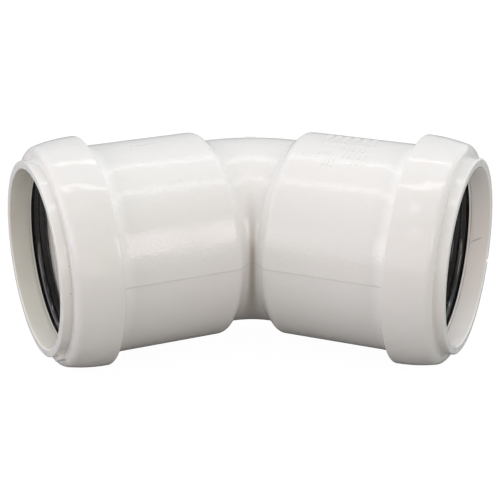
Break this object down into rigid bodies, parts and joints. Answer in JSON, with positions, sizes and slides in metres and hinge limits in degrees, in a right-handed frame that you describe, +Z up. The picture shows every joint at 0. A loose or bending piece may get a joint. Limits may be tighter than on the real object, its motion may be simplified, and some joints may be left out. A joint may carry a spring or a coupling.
{
  "type": "push-fit pipe elbow",
  "caption": "White plastic pipe elbow turning the run by 45 degrees, with a rubber-sealed push-fit socket at each end held by a stepped cap.",
  "frame": {"origin": "centre of the bounding box's base: the elbow lies on its side on the two caps, and the socket axes meet 27.3 mm above and 11.7 mm behind it", "axes": "+Z up, square to the plane of the bend; +X across from the left mouth to the right mouth; both sockets point towards -Y at 22.5 degrees to the X axis"},
  "size_m": [0.1194, 0.0642, 0.0547],
  "materials": {
    "body_plastic": "glossy injection-moulded white plastic with slight orange peel",
    "cap_plastic": "glossy injection-moulded white plastic",
    "seal_rubber": "smooth black rubber with a wet-looking sheen"
  },
  "bodies": {
    "root": {"bend_body": "body_plastic", "retaining_cap_left": "cap_plastic", "retaining_cap_right": "cap_plastic", "seal_ring_left": "seal_rubber", "seal_ring_right": "seal_rubber"}
  },
  "joints": []
}
